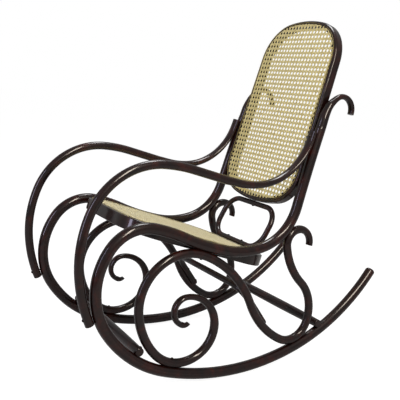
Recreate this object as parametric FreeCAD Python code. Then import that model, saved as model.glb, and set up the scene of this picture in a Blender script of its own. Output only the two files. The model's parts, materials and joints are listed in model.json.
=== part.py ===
import FreeCAD, Part
import math
import os

# A bentwood rocking chair, in millimetres. It faces -Y, +X is the sitter's left and +Z is up.
# The origin is on the floor, on the mid plane, under the lowest point of the runners.

V = FreeCAD.Vector
CLEARANCE = 0.3

# The two flat side frames lean towards each other and are widest apart at the floor.
FLOOR_HALF_SPREAD = 238.0
FRAME_LEAN = 1.7

# Round rods. The scroll rods, the bow and the stretchers are let a little into what they cross.
MAIN_ROD_DIA = 33.0
SCROLL_ROD_DIA = 27.0
ARM_ROD_DIA = 26.0
BRACE_ROD_DIA = 21.0
RING_ROD_DIA = 18.0
BEDDING = 2.0

# A bend is a radius and a turn in degrees, positive to the left of the rod's run. With a turn
# of zero it is a straight run of that length.
# The main rod starts at the floor: back along the runner, and forward up to the hook.
RUNNER_RADIUS = 774.0
RUNNER_REAR_TURN = 17.7
RUNNER_FRONT_TURN = -18.7
RUNNER_TAIL = (679.0, 33.5)
FRONT_SWEEP = (354.0, -39.9)
FRONT_LOOP = (206.0, -68.7)
FRONT_CREST = (127.0, -66.8)
CREST_EASE = (522.0, -11.2)
RAIL_SAG = (770.0, 11.5)
RAIL_DIP = (298.0, 25.5)
REAR_BEND = (170.0, 62.3)
POST_BEND = (5557.0, -3.1)
HOOK_RISE = (100.0, -45.2)
HOOK_CURL = (42.0, -135.6)
POST_TAPER_SHARE = 0.85
HOOK_THICKNESS = 18.0
HOOK_WIDTH = 25.0
HOOK_TIP_THICKNESS = 16.0
RUNNER_END_ROUNDING = 9.0
SCARF_SHARE = 0.5
SCARF_ANGLE = 14.0

# The scroll rod touches the runner, the rail from below, the runner again and the rear bend.
# The radii of its loop, drop and climb follow from the last three touches, within this range.
SCROLL_RADIUS_RANGE = (1.5 * SCROLL_ROD_DIA, 13.0 * SCROLL_ROD_DIA)
SCROLL_TOUCH_TURN = -18.0
SCROLL_SWEEP_RADIUS = 119.6
SCROLL_FRONT_SWEEP_TURN = -28.4
SCROLL_FLANK = [(197.0, -12.3), (223.0, -24.8)]
SCROLL_LOOP_TURN = -118.9
SCROLL_FALL = (322.6, -45.0)
SCROLL_DROP_TURN = 39.3
SCROLL_TROUGH = [(76.7, 98.1), (129.7, 66.5)]
SCROLL_CLIMB_TURN = -38.0
SCROLL_HOOK = (45.7, -201.3)
SCROLL_HOOK_TAPER_SHARE = 0.45
SCROLL_HOOK_THICKNESS = 17.0
SCROLL_HOOK_WIDTH = 28.0
SCROLL_REAR_SWEEP_TURN = 51.4
SCROLL_RISE = (97.6, 146.5)
SCROLL_CURL = (42.7, 163.4)
SCROLL_CURL_END = (20.4, 55.8)
CURL_THICKNESS = 17.0
CURL_WIDTH = 25.0
CURL_TIP_THICKNESS = 8.0
CURL_TIP_WIDTH = 20.0

# The armrest starts on the front of the loop and ends flattened on the face of the post.
ARM_START_TURN = -11.6
ARM_START_SPLAY = 1.9
ARM_BENDS = [(447.0, -17.7), (361.0, -26.2), (217.5, -72.9), (479.0, -11.6)]
ARM_DIP = (430.6, 13.4)
ARM_REAR_BEND_RADIUS = 205.4
ARM_TIP_RUN = 21.4
ARM_TIP_THICKNESS = 17.0
ARM_TIP_WIDTH = 34.0

# The back hoop stands between the posts, with its cane on the front face.
HOOP_POST_SHARE = 0.35
HOOP_TOP = 316.0
HOOP_BOTTOM = 323.0
HOOP_DEPTH = 34.0
HOOP_BAND = 22.0
HOOP_CROWN_RADIUS = 425.0
HOOP_SHOULDER_RADIUS = 133.0
HOOP_FOOT_RADIUS = 506.0
HOOP_HIP_RADIUS = 113.0
HOOP_OUTER_ROUNDING = 8.0
HOOP_INNER_ROUNDING = 3.0

# The seat frame hangs between the rails, measured from the middle of their straightest run.
SEAT_FRONT = 242.0
SEAT_REAR = 293.0
SEAT_ABOVE_RAIL = 9.5
SEAT_TILT_EASE = 1.15
SEAT_BAND_HEIGHT = 37.0
SEAT_BAND_WIDTH = 30.0
SEAT_REAR_BAND_WIDTH = 56.0
SEAT_FRONT_RADIUS = 105.0
SEAT_REAR_RADIUS = 125.0
SEAT_ROUNDING = 4.0

# Cane panels: a net, and the spline that covers its edge.
CANE_THICKNESS = 2.0
CANE_PITCH = 32.0
CANE_GAP = 17.0
CANE_INSET = 9.0
SEAT_CANE_REAR_INSET = 42.0
SPLINE_WIDTH = 11.0
SPLINE_THICKNESS = 1.5

# The ring fills the gap between the seat and the back hoop.
RING_WIDTH = 290.0
RING_CORNER_RADIUS = 58.0
RING_REAR_INSET = 31.0

# The bow under the seat lies inside and behind the two scroll rods' drops.
BRACE_CONTACT_ANGLE = 41.5
BRACE_UPPER_SHARE = 0.15
BRACE_LOWER_SHARE = 0.5
BRACE_RISE = 81.0
BRACE_TAIL = 14.0
BRACE_CORNER_RADIUS = 60.0
BRACE_END_ROUNDING = 6.0

# Turned stretchers, let in over the runners.
STRETCHER_MID_DIA = 32.0
STRETCHER_END_DIA = 26.0
STRETCHER_OVERHANG = 13.0
STRETCHER_END_ROUNDING = 4.0
FRONT_STRETCHER_TURN = -19.6
REAR_STRETCHER_TURN = 8.8

# Dome-headed wood screws.
SCREW_SHANK_DIA = 4.0
SCREW_HEAD_DIA = 9.0
SCREW_HEAD_HEIGHT = 2.4
SCREW_HEAD_CROWN = 0.55
SCREW_BITE = 11.0
SCREW_FIT = 0.1
HOOP_SCREW_HEIGHTS = (-150.0, 0.0)
SEAT_SCREW_PLACES = (-110.0, 60.0)
RING_SCREW_SPREAD = 80.0
ARM_SCREW_SHARE = 0.15

MAIN_R = MAIN_ROD_DIA / 2
SCROLL_R = SCROLL_ROD_DIA / 2
ARM_R = ARM_ROD_DIA / 2
BRACE_R = BRACE_ROD_DIA / 2
RING_R = RING_ROD_DIA / 2
STRETCHER_END_R = STRETCHER_END_DIA / 2
LEAN = math.radians(FRAME_LEAN)
ACROSS = V(1, 0, 0)


# Paths in the flat of a side frame: y towards the rear, and z up the leaning plane.
def leg_point(leg, share):
    y, z, heading, radius, turn = leg
    start = math.radians(heading)
    if turn == 0:
        return (y + radius * share * math.cos(start), z + radius * share * math.sin(start), heading)
    signed_radius = math.copysign(radius, turn)
    end = math.radians(heading + turn * share)
    return (y + signed_radius * (math.sin(end) - math.sin(start)),
            z - signed_radius * (math.cos(end) - math.cos(start)),
            heading + turn * share)


def trace(y, z, heading, bends):
    legs = []
    for radius, turn in bends:
        legs.append((y, z, heading, radius, turn))
        y, z, heading = leg_point(legs[-1], 1.0)
    return legs


def part_of_leg(leg, share_from, share_to):
    y, z, heading = leg_point(leg, share_from)
    return (y, z, heading, leg[3], leg[4] * (share_to - share_from))


def beside(point, offset):
    # A point to the left of the run by the offset, or to its right where that is negative.
    y, z, heading = point
    turn = math.radians(heading)
    return (y - offset * math.sin(turn), z + offset * math.cos(turn))


def flat(point):
    return V(0, point[0], point[1])


def leg_edge(leg):
    start, middle, end = [flat(leg_point(leg, share)) for share in (0, 0.5, 1)]
    if leg[4] == 0:
        return Part.LineSegment(start, end).toShape()
    return Part.Arc(start, middle, end).toShape()


def wire_of(legs):
    return Part.Wire([leg_edge(leg) for leg in legs])


def nearest(legs, other_legs):
    # The least distance between two paths, and the point of each where they are nearest.
    distance, pairs, _ = wire_of(legs).distToShape(wire_of(other_legs))
    return distance, pairs[0][0], pairs[0][1]


def solved(miss, low, high):
    # The value between low and high at which the miss, positive at low, comes to nothing.
    for _ in range(30):
        middle = (low + high) / 2
        if miss(middle) > 0:
            low = middle
        else:
            high = middle
    return (low + high) / 2


# The side frame's paths.
RUNNER_REAR_PATH = trace(0, MAIN_R, 0, [(RUNNER_RADIUS, RUNNER_REAR_TURN), RUNNER_TAIL])
MAIN_PATH = trace(0, MAIN_R, 180, [(RUNNER_RADIUS, RUNNER_FRONT_TURN), FRONT_SWEEP, FRONT_LOOP, FRONT_CREST,
                                   CREST_EASE, RAIL_SAG, RAIL_DIP, REAR_BEND, POST_BEND, HOOK_RISE, HOOK_CURL])
RUNNER_LEG, SWEEP_LEG, LOOP_LEG, CREST_LEG, EASE_LEG, SAG_LEG, DIP_LEG, BEND_LEG, POST_LEG = MAIN_PATH[:9]
RISE_LEG, CURL_LEG = MAIN_PATH[9:]
RAIL_LEGS = [CREST_LEG, EASE_LEG, SAG_LEG, DIP_LEG]

SCROLL_REST = MAIN_R + SCROLL_R - BEDDING
SCROLL_TOUCH = leg_point(RUNNER_LEG, SCROLL_TOUCH_TURN / RUNNER_FRONT_TURN)
SCROLL_START = beside(SCROLL_TOUCH, -SCROLL_REST)


def scroll_path(loop_radius, drop_radius, climb_radius):
    return trace(*SCROLL_START, SCROLL_TOUCH[2],
                 [(SCROLL_SWEEP_RADIUS, SCROLL_FRONT_SWEEP_TURN)] + SCROLL_FLANK
                 + [(loop_radius, SCROLL_LOOP_TURN), SCROLL_FALL, (drop_radius, SCROLL_DROP_TURN)]
                 + SCROLL_TROUGH + [(climb_radius, SCROLL_CLIMB_TURN), SCROLL_HOOK])


def loop_miss(radius):
    return nearest(scroll_path(radius, 100, 100)[3:5], RAIL_LEGS)[0] - SCROLL_REST


def drop_miss(radius):
    legs = scroll_path(SCROLL_LOOP_RADIUS, radius, 100)[5:8]
    return nearest(legs, RUNNER_REAR_PATH)[0] - SCROLL_REST


def climb_miss(radius):
    legs = scroll_path(SCROLL_LOOP_RADIUS, SCROLL_DROP_RADIUS, radius)[8:]
    return nearest(legs, [DIP_LEG, BEND_LEG])[0] - SCROLL_REST


SCROLL_LOOP_RADIUS = solved(loop_miss, *SCROLL_RADIUS_RANGE)
SCROLL_DROP_RADIUS = solved(drop_miss, *SCROLL_RADIUS_RANGE)
SCROLL_CLIMB_RADIUS = solved(climb_miss, *SCROLL_RADIUS_RANGE)
SCROLL_PATH = scroll_path(SCROLL_LOOP_RADIUS, SCROLL_DROP_RADIUS, SCROLL_CLIMB_RADIUS)
SCROLL_BACK_PATH = trace(*SCROLL_START, SCROLL_TOUCH[2] + 180,
                         [(SCROLL_SWEEP_RADIUS, SCROLL_REAR_SWEEP_TURN), SCROLL_RISE, SCROLL_CURL, SCROLL_CURL_END])
DROP_LEG = SCROLL_PATH[5]

ARM_TOUCH = leg_point(LOOP_LEG, ARM_START_TURN / FRONT_LOOP[1])
ARM_START = beside(ARM_TOUCH, MAIN_R + ARM_R + CLEARANCE)
POST_FACE = MAIN_R + ARM_TIP_THICKNESS / 2 + CLEARANCE


def arm_path(straight):
    legs = trace(*ARM_START, ARM_TOUCH[2] + ARM_START_SPLAY, ARM_BENDS + [(straight, 0.0), ARM_DIP])
    y, z, heading = leg_point(legs[-1], 1.0)
    post_heading = leg_point(POST_LEG, 0.8)[2]
    bend = (y, z, heading, ARM_REAR_BEND_RADIUS, post_heading - heading)
    top = leg_point(bend, 1.0)
    return legs + [bend, (*top, ARM_TIP_RUN, 0.0)]


def arm_miss(straight):
    return nearest([arm_path(straight)[-2]], [POST_LEG])[0] - POST_FACE


ARM_PATH = arm_path(solved(arm_miss, 1, 300))



def section(point, thickness, width):
    # A cross-section square to the run: thickness in the flat of the frame, width along X.
    y, z, heading = point
    turn = math.radians(heading)
    if width > thickness:
        edge = Part.Ellipse(V(0, 0, 0), width / 2, thickness / 2).toShape()
    else:
        edge = Part.Circle(V(0, 0, 0), V(0, 0, 1), thickness / 2).toShape()
    run = V(0, math.cos(turn), math.sin(turn))
    wire = Part.Wire(edge)
    wire.Placement = FreeCAD.Placement(flat(point), FreeCAD.Rotation(ACROSS, run.cross(ACROSS), run, "XYZ"))
    return wire


def round_rod(legs, diameter):
    start = leg_point(legs[0], 0)
    return wire_of(legs).makePipeShell([section(start, diameter, diameter)], True, False)


def tapered_rod(legs, sizes):
    # Sizes are thickness and width, at the start of the first leg and at the end of each leg.
    wires = [section(leg_point(legs[0], 0), *sizes[0])]
    for leg, size_from, size_to in zip(legs, sizes, sizes[1:]):
        steps = max(2, round(abs(leg[4]) / 15))
        for step in range(1, steps + 1):
            share = step / steps
            size = [a + (b - a) * share for a, b in zip(size_from, size_to)]
            wires.append(section(leg_point(leg, share), *size))
    return Part.makeLoft(wires, True, False)


def joined(first, *others):
    return first.multiFuse(list(others)).removeSplitter().Solids[0]


def rounded_end(rod, end, radius):
    # Rounds the edge round the flat end of a rod.
    edges = [edge for edge in rod.Edges if edge.Closed and edge.CenterOfMass.distanceToPoint(end) < 1.0]
    return rod.makeFillet(radius, edges[:1])


# A leaning side frame stands on the floor, and the other is its mirror image.
FRAME_PLACE = FreeCAD.Placement(V(FLOOR_HALF_SPREAD + MAIN_R * math.sin(LEAN), 0, MAIN_R * (1 - math.cos(LEAN))),
                                FreeCAD.Rotation(V(0, 1, 0), -FRAME_LEAN))


def side_x(z):
    # Half the distance between the frames' middles, at a height above the floor.
    return FLOOR_HALF_SPREAD - (z - MAIN_R) * math.tan(LEAN)


def inner_x(z):
    # Half the clear width between the main rods at that height.
    return side_x(z) - MAIN_R / math.cos(LEAN) - CLEARANCE


def on_left(shape):
    placed = shape.copy()
    placed.Placement = FRAME_PLACE.multiply(placed.Placement)
    return placed


def mirrored(shape):
    return shape.mirror(V(0, 0, 0), ACROSS)


def on_left_point(point, offset=0):
    return FRAME_PLACE.multVec(V(offset, point[0], point[1]))


def scarf_waste(side):
    # What is cut away above or below the slanting splice in the rail.
    length = 2 * math.radians(abs(SAG_LEG[4])) * SAG_LEG[3]
    height = 3 * MAIN_ROD_DIA
    y, z, heading = leg_point(SAG_LEG, SCARF_SHARE)
    block = Part.makeBox(2 * MAIN_ROD_DIA, length, height, V(-MAIN_ROD_DIA, -length / 2, 0 if side > 0 else -height))
    block.Placement = FreeCAD.Placement(V(0, y, z), FreeCAD.Rotation(ACROSS, heading - SCARF_ANGLE))
    return block


def rocker_loop_rod():
    rod = joined(round_rod(RUNNER_REAR_PATH, MAIN_ROD_DIA), round_rod(MAIN_PATH[:6], MAIN_ROD_DIA))
    rod = rounded_end(rod, flat(leg_point(RUNNER_REAR_PATH[-1], 1.0)), RUNNER_END_ROUNDING)
    return rod.cut(scarf_waste(1)).Solids[0]


def back_post_rod():
    straight_share = part_of_leg(POST_LEG, 0, POST_TAPER_SHARE)
    rod = round_rod([SAG_LEG, DIP_LEG, BEND_LEG, straight_share], MAIN_ROD_DIA)
    hook = tapered_rod([part_of_leg(POST_LEG, POST_TAPER_SHARE, 1), RISE_LEG, CURL_LEG],
                       [(MAIN_ROD_DIA, MAIN_ROD_DIA), (MAIN_ROD_DIA * 0.92, MAIN_ROD_DIA * 0.95),
                        (HOOK_THICKNESS, HOOK_WIDTH), (HOOK_TIP_THICKNESS, HOOK_WIDTH)])
    return joined(rod, hook).cut(scarf_waste(-1)).Solids[0]


def main_rod_sleeve():
    # The space that the main rod takes with a little play, cut from what is let in over it.
    diameter = MAIN_ROD_DIA + 2 * CLEARANCE
    return joined(round_rod(RUNNER_REAR_PATH, diameter), round_rod(MAIN_PATH[:9], diameter))


def drop_sleeve():
    return round_rod(SCROLL_PATH[4:8], SCROLL_ROD_DIA + 2 * CLEARANCE)


def scroll_rod():
    hook = SCROLL_PATH[-1]
    steady_hook = part_of_leg(hook, 0, SCROLL_HOOK_TAPER_SHARE)
    hook_size = (SCROLL_HOOK_THICKNESS, SCROLL_HOOK_WIDTH)
    steady_size = (SCROLL_ROD_DIA, SCROLL_ROD_DIA)
    front = round_rod(SCROLL_PATH[:-1] + [steady_hook], SCROLL_ROD_DIA)
    hook_end = tapered_rod([part_of_leg(hook, SCROLL_HOOK_TAPER_SHARE, 1)], [steady_size, hook_size])
    sweep, rise, curl, curl_end = SCROLL_BACK_PATH
    steady_rise = part_of_leg(rise, 0, 0.4)
    back = round_rod([sweep, steady_rise], SCROLL_ROD_DIA)
    curl_size = (CURL_THICKNESS, CURL_WIDTH)
    tip_size = (CURL_TIP_THICKNESS, CURL_TIP_WIDTH)
    curl_rod = tapered_rod([part_of_leg(rise, 0.4, 1), curl, curl_end],
                           [steady_size, curl_size, curl_size, tip_size])
    return joined(front, hook_end, back, curl_rod).cut(main_rod_sleeve()).Solids[0]


def arm_rod():
    # The rod flattens and widens along the bend up to the post.
    straight, dip, bend, tip = ARM_PATH[-4:]
    rod = round_rod(ARM_PATH[:-4] + [straight], ARM_ROD_DIA)
    steady_size = (ARM_ROD_DIA, ARM_ROD_DIA)
    tip_size = (ARM_TIP_THICKNESS, ARM_TIP_WIDTH)
    part_size = [(2 * a + b) / 3 for a, b in zip(steady_size, tip_size)]
    flattened = tapered_rod([dip, bend, tip], [steady_size, part_size, tip_size, tip_size])
    return joined(rod, flattened)


def rounded_path(points, radii, closed):
    # Straight runs between the points, with a tangent arc of its own radius at each corner.
    count = len(points)
    corners = range(count) if closed else range(1, count - 1)
    starts = {}
    ends = {}
    arcs = {}
    for i in corners:
        before = (points[i - 1] - points[i]).normalize()
        after = (points[(i + 1) % count] - points[i]).normalize()
        half_turn = (math.pi - before.getAngle(after)) / 2
        reach = radii[i] * math.tan(half_turn)
        inwards = (before + after).normalize()
        starts[i] = points[i] + before * reach
        ends[i] = points[i] + after * reach
        middle = points[i] + inwards * (radii[i] / math.cos(half_turn) - radii[i])
        arcs[i] = Part.Arc(starts[i], middle, ends[i]).toShape()
    edges = []
    for i in range(count if closed else count - 1):
        run_start = ends.get(i, points[i])
        following = (i + 1) % count
        run_end = starts.get(following, points[following])
        if i in arcs:
            edges.append(arcs[i])
        edges.append(Part.LineSegment(run_start, run_end).toShape())
    return Part.Wire(edges)


def rod_along(wire, start, direction, diameter):
    profile = Part.Wire(Part.Circle(start, direction, diameter / 2).toShape())
    return wire.makePipeShell([profile], True, False)


# The back hoop's flat: x across, t up its slope from the top of the posts, and its normal forwards.
def slope_place(origin, up):
    return FreeCAD.Placement(origin, FreeCAD.Rotation(ACROSS, up, ACROSS.cross(up), "XYZ"))


HOOP_HEADING = math.radians(leg_point(POST_LEG, HOOP_POST_SHARE)[2])
HOOP_UP = V(0, math.cos(HOOP_HEADING), math.sin(HOOP_HEADING))
HOOP_FORWARD = ACROSS.cross(HOOP_UP)
HOOP_MIDDLE = V(0, *leg_point(POST_LEG, 1.0)[:2])
HOOP_PLACE = slope_place(HOOP_MIDDLE + HOOP_FORWARD * (HOOP_DEPTH / 2), HOOP_UP)
HOOP_TAPER = math.tan(LEAN) * HOOP_UP.z
HOOP_HALF_WIDTH = inner_x(HOOP_MIDDLE.z)


def crown(half_width, taper, end, end_radius, corner_radius):
    # One end of an oval: the points of its corner arc, and the top of its crown.
    slant = math.hypot(1, taper)
    side = half_width - corner_radius * slant
    centre = end - end_radius
    b = side * taper + centre
    c = side * side + centre * centre - (end_radius - corner_radius) ** 2
    t = (b + math.sqrt(b * b - slant * slant * c)) / (slant * slant)
    corner = V(side - taper * t, t, 0)
    out = V(1 / slant, taper / slant, 0)
    up = (corner - V(0, centre, 0)).normalize()
    return (corner + out * corner_radius, corner + (out + up).normalize() * corner_radius,
            corner + up * corner_radius, V(0, end, 0))


def hoop_outline(inset):
    width = HOOP_HALF_WIDTH - inset * math.hypot(1, HOOP_TAPER)
    top = crown(width, HOOP_TAPER, HOOP_TOP - inset, HOOP_CROWN_RADIUS - inset, HOOP_SHOULDER_RADIUS - inset)
    foot = crown(width, -HOOP_TAPER, HOOP_BOTTOM - inset, HOOP_FOOT_RADIUS - inset, HOOP_HIP_RADIUS - inset)
    side_top, top_corner, top_join, apex = top
    side_foot, foot_corner, foot_join, foot_apex = [V(p.x, -p.y, 0) for p in foot]
    edges = [Part.LineSegment(side_foot, side_top).toShape(),
             Part.Arc(side_top, top_corner, top_join).toShape(),
             Part.Arc(top_join, apex, across_middle(top_join)).toShape(),
             Part.Arc(across_middle(top_join), across_middle(top_corner), across_middle(side_top)).toShape(),
             Part.LineSegment(across_middle(side_top), across_middle(side_foot)).toShape(),
             Part.Arc(across_middle(side_foot), across_middle(foot_corner), across_middle(foot_join)).toShape(),
             Part.Arc(across_middle(foot_join), foot_apex, foot_join).toShape(),
             Part.Arc(foot_join, foot_corner, side_foot).toShape()]
    return Part.Wire(edges)


def across_middle(point):
    return V(-point.x, point.y, point.z)


def holed_face(wires):
    return Part.makeFace(wires, "Part::FaceMakerBullseye")


def rim_edges(solid, outer):
    # The edges round the outside, or round the opening, of a flat band's two faces.
    edges = []
    for face in solid.Faces:
        if face.BoundBox.ZLength < 0.01:
            wires = sorted(face.Wires, key=lambda wire: wire.BoundBox.DiagonalLength)
            edges += (wires[-1] if outer else wires[0]).Edges
    return edges


def band(outer, inner, depth, outer_rounding, inner_rounding):
    # A flat frame between two outlines, its front at z = 0, with its edges rounded.
    solid = holed_face([outer, inner]).extrude(V(0, 0, -depth))
    solid = solid.makeFillet(outer_rounding, rim_edges(solid, True))
    return solid.makeFillet(inner_rounding, rim_edges(solid, False)).Solids[0]


def placed(shape, place):
    moved = shape.copy()
    moved.Placement = place.multiply(moved.Placement)
    return moved


def cane_net(edge_wire, open_wire, half_columns, rows_from, rows_to):
    # A sheet with one square gap for every other cane hole, where a whole gap fits inside.
    field = Part.Face(open_wire)
    half = CANE_GAP / 2
    gaps = []
    for column in range(-half_columns, half_columns + 1):
        for row in range(rows_from, rows_to + 1):
            x = column * CANE_PITCH
            y = row * CANE_PITCH
            corners = [V(x - half, y - half, 0), V(x + half, y - half, 0), V(x + half, y + half, 0),
                       V(x - half, y + half, 0)]
            if all(field.isInside(corner, 0.001, True) for corner in corners):
                gaps.append(Part.makePolygon(corners + corners[:1]))
    return holed_face([edge_wire] + gaps).extrude(V(0, 0, CANE_THICKNESS))


def cane_spline(outer, inner):
    ring = holed_face([outer, inner]).extrude(V(0, 0, SPLINE_THICKNESS))
    return ring.translated(V(0, 0, CANE_THICKNESS))


def net_reach(size):
    return math.ceil(size / CANE_PITCH)


def back_hoop():
    solid = band(hoop_outline(0), hoop_outline(HOOP_BAND), HOOP_DEPTH, HOOP_OUTER_ROUNDING, HOOP_INNER_ROUNDING)
    return placed(solid, HOOP_PLACE)


def back_cane_pieces():
    open_inset = max(HOOP_BAND, CANE_INSET + SPLINE_WIDTH) + 1
    net = cane_net(hoop_outline(CANE_INSET), hoop_outline(open_inset), net_reach(HOOP_HALF_WIDTH),
                   -net_reach(HOOP_BOTTOM), net_reach(HOOP_TOP))
    spline = cane_spline(hoop_outline(CANE_INSET), hoop_outline(CANE_INSET + SPLINE_WIDTH))
    return {"back_cane": placed(net, HOOP_PLACE), "back_cane_spline": placed(spline, HOOP_PLACE)}


# The seat's flat: x across, y down its slope to the rear, and its normal upwards.
RAIL_START = leg_point(SAG_LEG, 0)
RAIL_END = leg_point(SAG_LEG, 1)
RAIL_SLOPE = math.degrees(math.atan2(RAIL_END[1] - RAIL_START[1], RAIL_END[0] - RAIL_START[0]))
SEAT_HEADING = math.radians(RAIL_SLOPE + SEAT_TILT_EASE)
SEAT_BACKWARD = V(0, math.cos(SEAT_HEADING), math.sin(SEAT_HEADING))
SEAT_UPWARD = ACROSS.cross(SEAT_BACKWARD)
RAIL_MIDDLE = V(0, (RAIL_START[0] + RAIL_END[0]) / 2, (RAIL_START[1] + RAIL_END[1]) / 2)
SEAT_PLACE = slope_place(RAIL_MIDDLE + SEAT_UPWARD * SEAT_ABOVE_RAIL, SEAT_BACKWARD)


def seat_half_width(y):
    return inner_x((SEAT_PLACE.multVec(V(0, y, 0))).z)


def seat_outline(inset, rear_inset):
    front = inset - SEAT_FRONT
    rear = SEAT_REAR - rear_inset
    front_width = seat_half_width(front) - inset
    rear_width = seat_half_width(rear) - inset
    corners = [V(front_width, front, 0), V(rear_width, rear, 0), V(-rear_width, rear, 0), V(-front_width, front, 0)]
    front_radius = SEAT_FRONT_RADIUS - inset
    rear_radius = SEAT_REAR_RADIUS - inset
    return rounded_path(corners, [front_radius, rear_radius, rear_radius, front_radius], True)


def seat_frame():
    solid = band(seat_outline(0, 0), seat_outline(SEAT_BAND_WIDTH, SEAT_REAR_BAND_WIDTH), SEAT_BAND_HEIGHT,
                 SEAT_ROUNDING, SEAT_ROUNDING)
    return placed(solid, SEAT_PLACE)


def seat_cane_pieces():
    edge = seat_outline(CANE_INSET, SEAT_CANE_REAR_INSET)
    spline_edge = seat_outline(CANE_INSET + SPLINE_WIDTH, SEAT_CANE_REAR_INSET + SPLINE_WIDTH)
    open_edge = seat_outline(max(SEAT_BAND_WIDTH, CANE_INSET + SPLINE_WIDTH) + 1,
                             max(SEAT_REAR_BAND_WIDTH, SEAT_CANE_REAR_INSET + SPLINE_WIDTH) + 1)
    net = cane_net(edge, open_edge, net_reach(seat_half_width(SEAT_REAR)), -net_reach(SEAT_FRONT),
                   net_reach(SEAT_REAR))
    return {"seat_cane": placed(net, SEAT_PLACE), "seat_cane_spline": placed(cane_spline(edge, spline_edge), SEAT_PLACE)}


# The ring stands on the seat's rear rim and reaches up to the hoop's underside.
RING_FOOT = SEAT_PLACE.multVec(V(0, SEAT_REAR - RING_REAR_INSET, RING_R + CLEARANCE))
RING_HEAD = HOOP_MIDDLE - HOOP_UP * (HOOP_BOTTOM + RING_R + CLEARANCE)


def back_ring():
    out = ACROSS * (RING_WIDTH / 2 - RING_R)
    corners = [RING_FOOT + out, RING_HEAD + out, RING_HEAD - out, RING_FOOT - out]
    wire = rounded_path(corners, [RING_CORNER_RADIUS] * 4, True)
    start = wire.OrderedEdges[0]
    return rod_along(wire, start.valueAt(start.FirstParameter), start.tangentAt(start.FirstParameter), RING_ROD_DIA)


# The bow's legs lie diagonally inside and behind the scroll rods.
BRACE_REST = SCROLL_R + BRACE_R - BEDDING
BRACE_CONTACT = math.radians(BRACE_CONTACT_ANGLE)


def brace_contact(share):
    point = beside(leg_point(DROP_LEG, share), BRACE_REST * math.sin(BRACE_CONTACT))
    return on_left_point(point, -BRACE_REST * math.cos(BRACE_CONTACT))


def scroll_contact(share):
    return on_left_point(leg_point(DROP_LEG, share)[:2])


def under_seat_brace(scroll_sleeves):
    upper = brace_contact(BRACE_UPPER_SHARE)
    lower = brace_contact(BRACE_LOWER_SHARE)
    up = (upper - lower).normalize()
    top = upper + up * BRACE_RISE
    foot = lower - up * BRACE_TAIL
    wire = rounded_path([foot, top, across_middle(top), across_middle(foot)], [0, BRACE_CORNER_RADIUS,
                        BRACE_CORNER_RADIUS, 0], False)
    rod = rod_along(wire, foot, up, BRACE_ROD_DIA)
    for end in (foot, across_middle(foot)):
        rod = rounded_end(rod, end, BRACE_END_ROUNDING)
    return rod.cut(scroll_sleeves).Solids[0]


def stretcher_point(touch, side):
    return on_left_point(beside(touch, side * (MAIN_R + STRETCHER_END_R - BEDDING)))


def stretcher(point, sleeves):
    # A turned bar with a slight barrel, let in over both runners.
    half_length = point.x + STRETCHER_OVERHANG
    corners = [V(-half_length, 0, STRETCHER_END_R), V(0, 0, STRETCHER_MID_DIA / 2), V(half_length, 0, STRETCHER_END_R)]
    profile = [Part.Arc(*corners).toShape(), Part.makePolygon([corners[2], V(half_length, 0, 0),
               V(-half_length, 0, 0), corners[0]])]
    bar = Part.Face(Part.Wire([profile[0]] + profile[1].Edges)).revolve(V(0, 0, 0), ACROSS, 360)
    for end in (V(half_length, 0, 0), V(-half_length, 0, 0)):
        bar = rounded_end(bar, end, STRETCHER_END_ROUNDING)
    return bar.translated(V(0, point.y, point.z)).cut(sleeves).Solids[0]


FRONT_STRETCHER_TOUCH = leg_point(SWEEP_LEG, FRONT_STRETCHER_TURN / FRONT_SWEEP[1])
REAR_STRETCHER_TOUCH = leg_point(RUNNER_REAR_PATH[1], REAR_STRETCHER_TURN / RUNNER_TAIL[1])
FRONT_STRETCHER_POINT = stretcher_point(FRONT_STRETCHER_TOUCH, -1)
REAR_STRETCHER_POINT = stretcher_point(REAR_STRETCHER_TOUCH, 1)


def screw(head, direction, reach):
    # A tapering head against the wood and a shank of the given reach.
    rim = SCREW_HEAD_DIA / 2
    crown = Part.makeCone(rim, rim * SCREW_HEAD_CROWN, SCREW_HEAD_HEIGHT, head, -direction)
    return crown.fuse(Part.makeCylinder(SCREW_SHANK_DIA / 2, reach, head, direction))


def screw_hole(head, direction, reach):
    return Part.makeCylinder(SCREW_SHANK_DIA / 2 + SCREW_FIT, reach + 1, head, direction)


def rod_screw(from_point, from_radius, to_point):
    # Through the first rod and into the second, from one axis towards the other.
    direction = (to_point - from_point).normalize()
    return (from_point - direction * from_radius, direction, 2 * from_radius - BEDDING + SCREW_BITE)


def on_frame(screws):
    # Screws laid out in the flat of a side frame, stood up at the left.
    turn = FRAME_PLACE.Rotation
    return [(FRAME_PLACE.multVec(head), turn.multVec(direction), reach) for head, direction, reach in screws]


def contact_screw(legs, radius, other_legs):
    _, from_point, to_point = nearest(legs, other_legs)
    return rod_screw(from_point, radius, to_point)


def left_scroll_screws():
    touch = rod_screw(flat(SCROLL_START), SCROLL_R, flat(SCROLL_TOUCH))
    return on_frame([touch, contact_screw(SCROLL_PATH[3:5], SCROLL_R, RAIL_LEGS),
                     contact_screw(SCROLL_PATH[5:8], SCROLL_R, RUNNER_REAR_PATH),
                     contact_screw(SCROLL_PATH[8:], SCROLL_R, [DIP_LEG, BEND_LEG])])


def arm_screw(point, radius, legs):
    # From the armrest's outer face towards the nearest point of the main rod.
    touch = nearest([(*point, 0.5, 0.0)], legs)[2]
    return rod_screw(flat(point), radius, touch)


def left_arm_screws():
    return on_frame([arm_screw(leg_point(ARM_PATH[0], ARM_SCREW_SHARE), ARM_R, [LOOP_LEG]),
                     arm_screw(leg_point(ARM_PATH[-1], ARM_SCREW_SHARE), ARM_TIP_THICKNESS / 2, [POST_LEG])])


def left_stretcher_screws():
    screws = []
    for point, touch in ((FRONT_STRETCHER_POINT, FRONT_STRETCHER_TOUCH), (REAR_STRETCHER_POINT, REAR_STRETCHER_TOUCH)):
        screws.append(rod_screw(point, STRETCHER_END_R, on_left_point(touch[:2])))
    return screws


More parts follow.
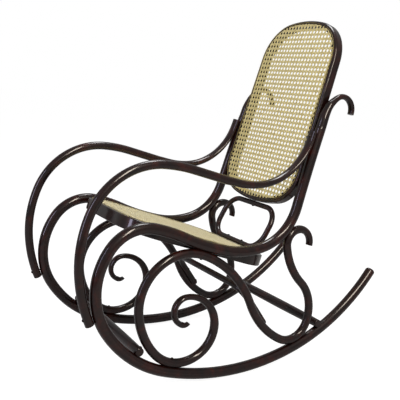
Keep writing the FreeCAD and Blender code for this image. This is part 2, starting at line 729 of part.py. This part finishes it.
def left_brace_screws():
    return [rod_screw(brace_contact(share), BRACE_R, scroll_contact(share))
            for share in (BRACE_UPPER_SHARE, BRACE_LOWER_SHARE)]


def left_hoop_screws():
    screws = []
    for height in HOOP_SCREW_HEIGHTS:
        inner = HOOP_HALF_WIDTH - HOOP_TAPER * height - HOOP_BAND * math.hypot(1, HOOP_TAPER)
        head = HOOP_PLACE.multVec(V(inner, height, -HOOP_DEPTH / 2))
        screws.append((head, on_frame_out(), HOOP_BAND + SCREW_BITE))
    return screws


def on_frame_out():
    return FRAME_PLACE.Rotation.multVec(ACROSS)


def left_seat_screws():
    screws = []
    for place in SEAT_SCREW_PLACES:
        inner = seat_half_width(place) - SEAT_BAND_WIDTH
        head = SEAT_PLACE.multVec(V(inner, place, -SEAT_ABOVE_RAIL))
        screws.append((head, on_frame_out(), SEAT_BAND_WIDTH + SCREW_BITE))
    return screws


def ring_screws():
    # Two down through the ring into the seat's rear rim, and one up into the hoop.
    reach = 2 * RING_R + SCREW_BITE
    out = ACROSS * (RING_SCREW_SPREAD / 2)
    screws = [(RING_FOOT + SEAT_UPWARD * RING_R + side, -SEAT_UPWARD, reach) for side in (out, -out)]
    screws.append((RING_HEAD - HOOP_UP * RING_R, HOOP_UP, reach))
    return screws


def both_sides(screws):
    return screws + [(across_middle(head), across_middle(direction), reach) for head, direction, reach in screws]


def drilled(piece, screws):
    # Cuts the holes of the screws that reach the piece.
    for item in screws:
        hole = screw_hole(*item)
        if hole.BoundBox.intersect(piece.BoundBox) and hole.distToShape(piece)[0] == 0:
            piece = piece.cut(hole).Solids[0]
    return piece


def build_chair():
    sleeve = on_left(main_rod_sleeve())
    sleeves = [sleeve, mirrored(sleeve)]
    drop = on_left(drop_sleeve())
    screws = {"scroll_screws": both_sides(left_scroll_screws()), "armrest_screws": both_sides(left_arm_screws()),
              "stretcher_screws": both_sides(left_stretcher_screws()), "brace_screws": both_sides(left_brace_screws()),
              "hoop_screws": both_sides(left_hoop_screws()), "seat_screws": both_sides(left_seat_screws()),
              "ring_screws": ring_screws()}
    every_screw = sum(screws.values(), [])
    left_rods = {"rocker_loop": rocker_loop_rod(), "back_post": back_post_rod(), "scroll": scroll_rod(),
                 "armrest": arm_rod()}
    pieces = {}
    for name, rod in left_rods.items():
        left = drilled(on_left(rod), every_screw)
        pieces["left_" + name] = left
        pieces["right_" + name] = mirrored(left)
    wooden = {"back_hoop": back_hoop(), "back_ring": back_ring(), "seat_frame": seat_frame(),
              "under_seat_brace": under_seat_brace([drop, mirrored(drop)]),
              "front_stretcher": stretcher(FRONT_STRETCHER_POINT, sleeves),
              "rear_stretcher": stretcher(REAR_STRETCHER_POINT, sleeves)}
    for name, piece in wooden.items():
        pieces[name] = drilled(piece, every_screw)
    pieces.update(back_cane_pieces())
    pieces.update(seat_cane_pieces())
    for name, group in screws.items():
        pieces[name] = Part.makeCompound([screw(*item) for item in group])
    return pieces


os.makedirs("parts", exist_ok=True)
for name, piece in build_chair().items():
    piece.exportStep("parts/" + name + ".step")
    print(name, len(piece.Solids), "solid", round(piece.Volume), "mm3", "valid" if piece.isValid() else "not valid")
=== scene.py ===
import json
import math

import bmesh
import bpy
from mathutils import Matrix, Vector
from mathutils.geometry import convex_hull_2d


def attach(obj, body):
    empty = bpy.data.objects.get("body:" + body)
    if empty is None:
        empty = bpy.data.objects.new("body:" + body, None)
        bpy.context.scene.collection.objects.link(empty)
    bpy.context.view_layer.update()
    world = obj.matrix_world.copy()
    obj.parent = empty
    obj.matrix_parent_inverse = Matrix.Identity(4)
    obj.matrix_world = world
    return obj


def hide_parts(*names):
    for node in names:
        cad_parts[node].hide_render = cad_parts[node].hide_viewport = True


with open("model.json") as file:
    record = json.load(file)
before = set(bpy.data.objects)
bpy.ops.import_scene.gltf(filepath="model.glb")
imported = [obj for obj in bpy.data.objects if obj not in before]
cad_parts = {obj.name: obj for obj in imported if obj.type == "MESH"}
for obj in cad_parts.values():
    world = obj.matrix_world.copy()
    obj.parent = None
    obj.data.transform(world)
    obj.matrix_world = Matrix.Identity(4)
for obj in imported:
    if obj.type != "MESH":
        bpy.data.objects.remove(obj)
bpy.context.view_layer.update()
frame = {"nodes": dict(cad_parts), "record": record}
nodes = frame["nodes"]
print("frame loaded:", len(nodes), "nodes")

nearZero = 1e-9


def hexColour(code):
    # sRGB hex to linear, with full alpha
    parts = [int(code[i:i + 2], 16) / 255 for i in (0, 2, 4)]
    return (*[c / 12.92 if c <= 0.04045 else ((c + 0.055) / 1.055) ** 2.4 for c in parts], 1)


def addNode(tree, kind, settings=None, inputs=None, links=None, stops=()):
    # stops are the places and hex colours of a colour ramp
    node = tree.nodes.new(kind)
    for name, value in (settings or {}).items():
        setattr(node, name, value)
    for name, value in (inputs or {}).items():
        node.inputs[name].default_value = value
    for name, source in (links or {}).items():
        tree.links.new(source, node.inputs[name])
    for _ in stops[2:]:
        node.color_ramp.elements.new(0.5)
    for index, (place, code) in enumerate(stops):
        node.color_ramp.elements[index].position = place
        node.color_ramp.elements[index].color = hexColour(code)
    return node


def newMaterial(name):
    material = bpy.data.materials.new(name)
    material.use_nodes = True
    material.node_tree.nodes.clear()
    return material, material.node_tree


def dress(name, material):
    mesh = nodes[name].data
    mesh.materials.clear()
    mesh.materials.append(material)


def addObject(name, data):
    thing = bpy.data.objects.new(name, data)
    bpy.context.scene.collection.objects.link(thing)
    return thing


# steamed and bent beech, stained a dark mahogany and lacquered: near black in the shade, reddish brown
# where light meets the grain, under a clear gloss with sharp long highlights; that reddish brown is also
# painted into the stain's colour as random glints
# its pores are drawn coarser than beech's, so that they show
wood = {"dark": "0E0504", "mid": "240B07", "paintedGlint": "47170C", "figureMm": 40.0, "poreMm": 4.8,
        "roughness": 0.35, "stainSheen": 0.2, "lacquerRoughness": 0.06, "lacquerIor": 1.45,
        "bumpMm": 0.05, "bumpStrength": 0.15}


def makeWood():
    material, tree = newMaterial("mahoganyStainedBeechWithPaintedGlint")
    place = addNode(tree, "ShaderNodeTexCoord")
    streaks = addNode(tree, "ShaderNodeTexNoise",
                      inputs={"Scale": 1000 / wood["figureMm"], "Detail": 5.0, "Roughness": 0.6,
                              "Distortion": 0.4},
                      links={"Vector": place.outputs["Object"]})
    # the stain's colour: dark and mid tones of its figure, and a painted red-brown glint where the noise is
    # highest
    stainAndPaintedGlint = addNode(tree, "ShaderNodeValToRGB", links={"Fac": streaks.outputs["Fac"]},
                    stops=[(0.3, wood["dark"]), (0.55, wood["mid"]), (0.8, wood["paintedGlint"])])
    pores = addNode(tree, "ShaderNodeTexNoise", inputs={"Scale": 1000 / wood["poreMm"], "Detail": 3.0},
                    links={"Vector": place.outputs["Object"]})
    bump = addNode(tree, "ShaderNodeBump",
                   inputs={"Strength": wood["bumpStrength"], "Distance": wood["bumpMm"] / 1000},
                   links={"Height": pores.outputs["Fac"]})
    shader = addNode(tree, "ShaderNodeBsdfPrincipled",
                     inputs={"Roughness": wood["roughness"], "Specular IOR Level": wood["stainSheen"],
                             "Coat Weight": 1.0, "Coat Roughness": wood["lacquerRoughness"],
                             "Coat IOR": wood["lacquerIor"]},
                     links={"Base Color": stainAndPaintedGlint.outputs["Color"], "Normal": bump.outputs["Normal"]})
    addNode(tree, "ShaderNodeOutputMaterial", links={"Surface": shader.outputs["BSDF"]})
    return material


woodMaterial = makeWood()
woodNodes = ["left_rocker_loop", "right_rocker_loop", "left_back_post", "right_back_post", "left_scroll",
             "right_scroll", "left_armrest", "right_armrest", "back_hoop", "back_ring", "seat_frame",
             "under_seat_brace", "front_stretcher", "rear_stretcher"]
for name in woodNodes:
    dress(name, woodMaterial)
print("wood dressed:", len(woodNodes), "nodes")

# wood screws of blackened steel: small dull dark spots with lighter, worn patches
screwSteel = {"black": "2A2220", "worn": "4A403A", "wearPerMetre": 900.0, "metallic": 0.8, "roughness": 0.4}


def makeScrewSteel():
    material, tree = newMaterial("blackenedSteel")
    place = addNode(tree, "ShaderNodeTexCoord")
    wear = addNode(tree, "ShaderNodeTexNoise", inputs={"Scale": screwSteel["wearPerMetre"], "Detail": 3.0},
                   links={"Vector": place.outputs["Object"]})
    tone = addNode(tree, "ShaderNodeValToRGB", links={"Fac": wear.outputs["Fac"]},
                   stops=[(0.35, screwSteel["black"]), (0.75, screwSteel["worn"])])
    shader = addNode(tree, "ShaderNodeBsdfPrincipled",
                     inputs={"Metallic": screwSteel["metallic"], "Roughness": screwSteel["roughness"]},
                     links={"Base Color": tone.outputs["Color"]})
    addNode(tree, "ShaderNodeOutputMaterial", links={"Surface": shader.outputs["BSDF"]})
    return material


steel = makeScrewSteel()
screwNodes = [name for name in nodes if name.endswith("_screws")]
for name in screwNodes:
    dress(name, steel)
print("screws dressed:", len(screwNodes), "nodes")

# peeled rattan cane, woven by hand: straw yellow in uneven tones, with the soft sheen of its hard skin
# each panel has pairs of strands up and across, and single strands both ways on the slant
cane = {"back": ("DCCB84", "EDE2A4"), "seat": ("DDD3A4", "ECE6C4"), "tonePerMetre": 60.0, "roughness": 0.45,
        "pitchMm": 16.0, "pairMm": 3.4, "strandMm": 3.0, "diagonalMm": 2.8, "thickMm": 0.55,
        "edgeShare": 0.4, "crownShare": 0.5, "weaveMm": 0.33, "levelAt": 0.28, "levelShare": 0.3,
        "diagonalRiseMm": 0.68, "diagonalSteps": (0, 0.18, 0.5, 0.82), "tuckMm": 5.0, "shortestMm": 10.0,
        "underMountMm": 2.5, "backShiftMm": 12.5, "seatShiftMm": 11.5}


def makeCane(name, colours):
    material, tree = newMaterial(name)
    place = addNode(tree, "ShaderNodeTexCoord")
    patches = addNode(tree, "ShaderNodeTexNoise",
                      inputs={"Scale": cane["tonePerMetre"], "Detail": 4.0, "Roughness": 0.7},
                      links={"Vector": place.outputs["Object"]})
    tone = addNode(tree, "ShaderNodeValToRGB", links={"Fac": patches.outputs["Fac"]},
                   stops=[(0.3, colours[0]), (0.62, colours[1])])
    shader = addNode(tree, "ShaderNodeBsdfPrincipled", inputs={"Roughness": cane["roughness"]},
                     links={"Base Color": tone.outputs["Color"]})
    addNode(tree, "ShaderNodeOutputMaterial", links={"Surface": shader.outputs["BSDF"]})
    return material


def panelPlace(mount, node):
    # the middle of the panel's net: x across, y up its slope, z out of its face
    # the mounts lie higher, on the flat tops of the edge bands
    facts = [m for m in frame["record"]["mounts"] if m["name"] == mount][0]
    normal = Vector(facts["axis"]).normalized()
    across = Vector((1, 0, 0))
    turn = Matrix((across, normal.cross(across), normal)).transposed().to_4x4()
    middle = Vector(facts["pos_m"]) - normal * (cane["underMountMm"] / 1000)
    place = Matrix.Translation(middle) @ turn
    flat = [(place.inverted() @ v.co).to_2d() for v in nodes[node].data.vertices]
    edge = [flat[i] for i in convex_hull_2d(flat)]
    return place, edge


def clipLine(start, direction, edge):
    # how far along a line it enters and leaves the convex edge, drawn in by the tuck
    enter, leave = -math.inf, math.inf
    for a, b in zip(edge, edge[1:] + edge[:1]):
        side = Vector((b.y - a.y, a.x - b.x))
        if side.length < nearZero:
            continue
        side.normalize()
        rate = direction.dot(side)
        room = (a - start).dot(side) - cane["tuckMm"] / 1000
        if abs(rate) < nearZero:
            if room < 0:
                return None
        elif rate > 0:
            leave = min(leave, room / rate)
        else:
            enter = max(enter, room / rate)
    return (enter, leave) if leave - enter > cane["shortestMm"] / 1000 else None


def weaveCurve(name, widthMm):
    # a flat strand's cross-section, low at its edges, and the curve that it is swept along
    profile = bpy.data.curves.new(name + "Section", "CURVE")
    profile.dimensions = "2D"
    half, thick = widthMm / 2000, cane["thickMm"] / 2000
    low, crown = thick * cane["edgeShare"], half * cane["crownShare"]
    corners = [(-half, -thick), (half, -thick), (half, low), (crown, thick), (-crown, thick), (-half, low)]
    ring = profile.splines.new("POLY")
    ring.points.add(len(corners) - 1)
    for point, (x, y) in zip(ring.points, corners):
        point.co = (x, y, 0, 1)
    ring.use_cyclic_u = True
    section = addObject(name + "Section", profile)
    curve = bpy.data.curves.new(name, "CURVE")
    curve.dimensions = "3D"
    curve.twist_mode = "Z_UP"
    curve.bevel_mode = "OBJECT"
    curve.bevel_object = section
    curve.use_fill_caps = True
    return addObject(name + "Curve", curve), section


def addStrand(curve, start, direction, span, rises):
    # rises gives pairs of distance and height along the strand
    enter, leave = span
    inside = [(d, z) for d, z in rises if enter < d < leave]
    if len(inside) < 2:
        return
    points = [(enter, 0.0)] + inside + [(leave, 0.0)]
    spline = curve.splines.new("POLY")
    spline.points.add(len(points) - 1)
    for point, (d, z) in zip(spline.points, points):
        flat = start + direction * d
        point.co = (flat.x, flat.y, z, 1)


def finishWeave(name, carrier, section, place, material, node):
    # the swept strands become one mesh, which stands for the panel's plain net
    bpy.context.view_layer.update()
    mesh = bpy.data.meshes.new_from_object(carrier.evaluated_get(bpy.context.evaluated_depsgraph_get()))
    mesh.name = name
    mesh.transform(place)
    for gone in (carrier, section):
        bpy.data.objects.remove(gone)
    piece = addObject(name, mesh)
    mesh.materials.clear()
    mesh.materials.append(material)
    shape = bmesh.new()
    shape.from_mesh(mesh)
    bmesh.ops.recalc_face_normals(shape, faces=shape.faces)
    shape.to_mesh(mesh)
    shape.free()
    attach(piece, "root")
    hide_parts(node)
    return piece


def weavePanel(prefix, mount, node, material, shiftMm):
    place, edge = panelPlace(mount, node)
    pitch, half, shiftY = cane["pitchMm"] / 1000, cane["pairMm"] / 2000, shiftMm / 1000
    weave, rise = cane["weaveMm"] / 1000, cane["diagonalRiseMm"] / 1000
    lows = Vector((min(p.x for p in edge), min(p.y for p in edge)))
    highs = Vector((max(p.x for p in edge), max(p.y for p in edge)))
    # over one strand of each pair and under the other, then nearly level to the next pair
    levelAt, levelShare = cane["levelAt"], cane["levelShare"]
    steps = [(-half, 1), (0, 0), (half, -1),
             (pitch * levelAt, -levelShare), (pitch / 2, 0), (pitch * (1 - levelAt), levelShare)]
    columns = range(math.floor(lows.x / pitch), math.ceil(highs.x / pitch) + 1)
    rows = range(math.floor((lows.y - shiftY) / pitch), math.ceil((highs.y - shiftY) / pitch) + 1)
    made = []

    carrier, section = weaveCurve(prefix + "Uprights", cane["strandMm"])
    for column in columns:
        for side in (-1, 1):
            start = Vector((column * pitch + side * half, shiftY))
            direction = Vector((0, 1))
            span = clipLine(start, direction, edge)
            if span:
                rises = [(row * pitch + d, side * z * weave) for row in rows for d, z in steps]
                addStrand(carrier.data, start, direction, span, rises)
    made.append(finishWeave(prefix + "_uprights", carrier, section, place, material, node))

    carrier, section = weaveCurve(prefix + "Crossings", cane["strandMm"])
    for row in rows:
        for side in (-1, 1):
            start = Vector((0, shiftY + row * pitch + side * half))
            direction = Vector((1, 0))
            span = clipLine(start, direction, edge)
            if span:
                rises = [(column * pitch + d, -side * z * weave) for column in columns for d, z in steps]
                addStrand(carrier.data, start, direction, span, rises)
    made.append(finishWeave(prefix + "_crossings", carrier, section, place, material, node))

    # half a pitch off the holes' corners, rising strands pass under the upright pairs and over the
    # crossing ones, and falling strands the other way round
    reach = math.ceil((highs - lows).length / pitch) + 2
    gap = pitch / math.sqrt(2)
    for label, slope, first in (("rising", 1, -1), ("falling", -1, 1)):
        carrier, section = weaveCurve(prefix + label, cane["diagonalMm"])
        direction = Vector((1, slope)).normalized()
        rises = [(k * gap + gap * f, (first if k % 2 == 0 else -first) * rise * math.cos(math.pi * f))
                 for k in range(-2 * reach, 2 * reach + 1) for f in cane["diagonalSteps"]]
        for line in range(-reach, reach + 1):
            start = Vector((0, shiftY + (line + 0.5) * pitch))
            span = clipLine(start, direction, edge)
            if span:
                addStrand(carrier.data, start, direction, span, rises)
        made.append(finishWeave(prefix + "_" + label, carrier, section, place, material, node))
    print(prefix, "woven:", sum(len(p.data.polygons) for p in made), "faces")


# the flat band of cane over the holes' edge, narrower than the CAD's plain band
binder = {"widthMm": 4.5, "thickMm": 1.6, "raiseMm": 0.6}


def bindEdge(name, mount, node, material):
    place, edge = panelPlace(mount, node)
    shape = bmesh.new()
    rim = [shape.verts.new((p.x, p.y, binder["raiseMm"] / 1000)) for p in edge]
    face = shape.faces.new(rim)
    bmesh.ops.inset_region(shape, faces=[face], use_boundary=True, use_even_offset=True,
                           thickness=binder["widthMm"] / 1000)
    bmesh.ops.delete(shape, geom=[face], context="FACES")
    walls = bmesh.ops.extrude_face_region(shape, geom=shape.faces[:])
    top = [v for v in walls["geom"] if isinstance(v, bmesh.types.BMVert)]
    bmesh.ops.translate(shape, verts=top, vec=(0, 0, binder["thickMm"] / 1000))
    bmesh.ops.recalc_face_normals(shape, faces=shape.faces)
    bmesh.ops.transform(shape, matrix=place, verts=shape.verts)
    mesh = bpy.data.meshes.new(name)
    shape.to_mesh(mesh)
    shape.free()
    piece = addObject(name, mesh)
    mesh.materials.append(material)
    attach(piece, "root")
    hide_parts(node)
    print(name, "laid:", len(edge), "corners")


backCane = makeCane("palePeeledCaneBack", cane["back"])
seatCane = makeCane("palePeeledCaneSeat", cane["seat"])
weavePanel("back_weave", "back_face", "back_cane", backCane, cane["backShiftMm"])
weavePanel("seat_weave", "seat_face", "seat_cane", seatCane, cane["seatShiftMm"])
bindEdge("back_binder", "back_face", "back_cane_spline", backCane)
bindEdge("seat_binder", "seat_face", "seat_cane_spline", seatCane)

# a paper floor under a white world: both look white to the camera, and light the chair less than that
studio = {"floorReachM": 20.0, "paperGrey": 0.35, "floorGlow": 0.9, "glossGlow": 0.1, "worldLight": 0.28,
          "aim": (0, 0, 0.5)}
lamps = {"keyLamp": {"place": (2.4, -0.2, 2.4), "size": (0.5, 1.6), "watts": 46.0, "colour": "FFF1DF"},
         "fillLamp": {"place": (0.4, -3.0, 1.6), "size": (0.5, 2.0), "watts": 24.0, "colour": "E4E0FF"},
         "topLamp": {"place": (-0.6, 0.6, 3.2), "size": (1.0, 1.0), "watts": 30.0, "colour": "FFFFFF"}}


def makeFloor():
    shape = bmesh.new()
    bmesh.ops.create_grid(shape, x_segments=1, y_segments=1, size=studio["floorReachM"])
    mesh = bpy.data.meshes.new("studioFloor")
    shape.to_mesh(mesh)
    shape.free()
    floor = addObject("studioFloor", mesh)
    # matt paper: it keeps the chair's soft shadow, and glows to the camera and a little in the lacquer
    material, tree = newMaterial("palePaperFloor")
    rays = addNode(tree, "ShaderNodeLightPath")
    gloss = addNode(tree, "ShaderNodeMath", {"operation": "MULTIPLY"}, {1: studio["glossGlow"]},
                    {0: rays.outputs["Is Glossy Ray"]})
    seen = addNode(tree, "ShaderNodeMath", {"operation": "MAXIMUM"},
                   links={0: rays.outputs["Is Camera Ray"], 1: gloss.outputs[0]})
    glow = addNode(tree, "ShaderNodeMath", {"operation": "MULTIPLY"}, {1: studio["floorGlow"]},
                   {0: seen.outputs[0]})
    paper = addNode(tree, "ShaderNodeBsdfDiffuse", inputs={"Color": (*[studio["paperGrey"]] * 3, 1)})
    light = addNode(tree, "ShaderNodeEmission", links={"Strength": glow.outputs[0]})
    both = addNode(tree, "ShaderNodeAddShader", links={0: paper.outputs[0], 1: light.outputs[0]})
    addNode(tree, "ShaderNodeOutputMaterial", links={"Surface": both.outputs[0]})
    mesh.materials.append(material)


def makeWorld():
    world = bpy.data.worlds.new("studioWorld")
    bpy.context.scene.world = world
    world.use_nodes = True
    tree = world.node_tree
    tree.nodes.clear()
    rays = addNode(tree, "ShaderNodeLightPath")
    plain = addNode(tree, "ShaderNodeBackground",
                    inputs={"Color": (1, 1, 1, 1), "Strength": studio["worldLight"]})
    white = addNode(tree, "ShaderNodeBackground", inputs={"Color": (1, 1, 1, 1), "Strength": 1.0})
    mix = addNode(tree, "ShaderNodeMixShader",
                  links={0: rays.outputs["Is Camera Ray"], 1: plain.outputs[0], 2: white.outputs[0]})
    addNode(tree, "ShaderNodeOutputWorld", links={"Surface": mix.outputs[0]})


def addLamp(name, facts):
    data = bpy.data.lights.new(name, "AREA")
    data.shape = "RECTANGLE"
    data.size, data.size_y = facts["size"]
    data.energy = facts["watts"]
    data.color = hexColour(facts["colour"])[:3]
    lamp = addObject(name, data)
    lamp.location = facts["place"]
    lamp.rotation_mode = "QUATERNION"
    lamp.rotation_quaternion = (Vector(studio["aim"]) - Vector(facts["place"])).to_track_quat("-Z", "Y")


makeFloor()
makeWorld()
for name, facts in lamps.items():
    addLamp(name, facts)
print("studio lit:", len(lamps), "lamps")

# angles in degrees; the part stands in balance, tipped from the photograph's angle, and the camera
# is tipped with it
photoCamera = {"place": (1.7921, -1.1031, 0.9163), "turn": 59.33, "pitch": 12.68, "tip": 3.3,
               "focalPx": 651.6, "imagePx": 400, "sensorMm": 36, "nearM": 0.05, "farM": 100}


def makeCamera():
    data = bpy.data.cameras.new("photoCamera")
    data.sensor_width = photoCamera["sensorMm"]
    data.lens = photoCamera["sensorMm"] * photoCamera["focalPx"] / photoCamera["imagePx"]
    data.clip_start, data.clip_end = photoCamera["nearM"], photoCamera["farM"]
    camera = addObject("photoCamera", data)
    tip = Matrix.Rotation(math.radians(photoCamera["tip"]), 4, "X")
    turn = Matrix.Rotation(math.radians(photoCamera["turn"]), 4, "Z")
    pitch = Matrix.Rotation(math.radians(90 - photoCamera["pitch"]), 4, "X")
    camera.matrix_world = Matrix.Translation(photoCamera["place"]) @ tip @ turn @ pitch
    bpy.context.scene.camera = camera


makeCamera()
bpy.context.scene.view_settings.view_transform = "Standard"
print("camera placed")
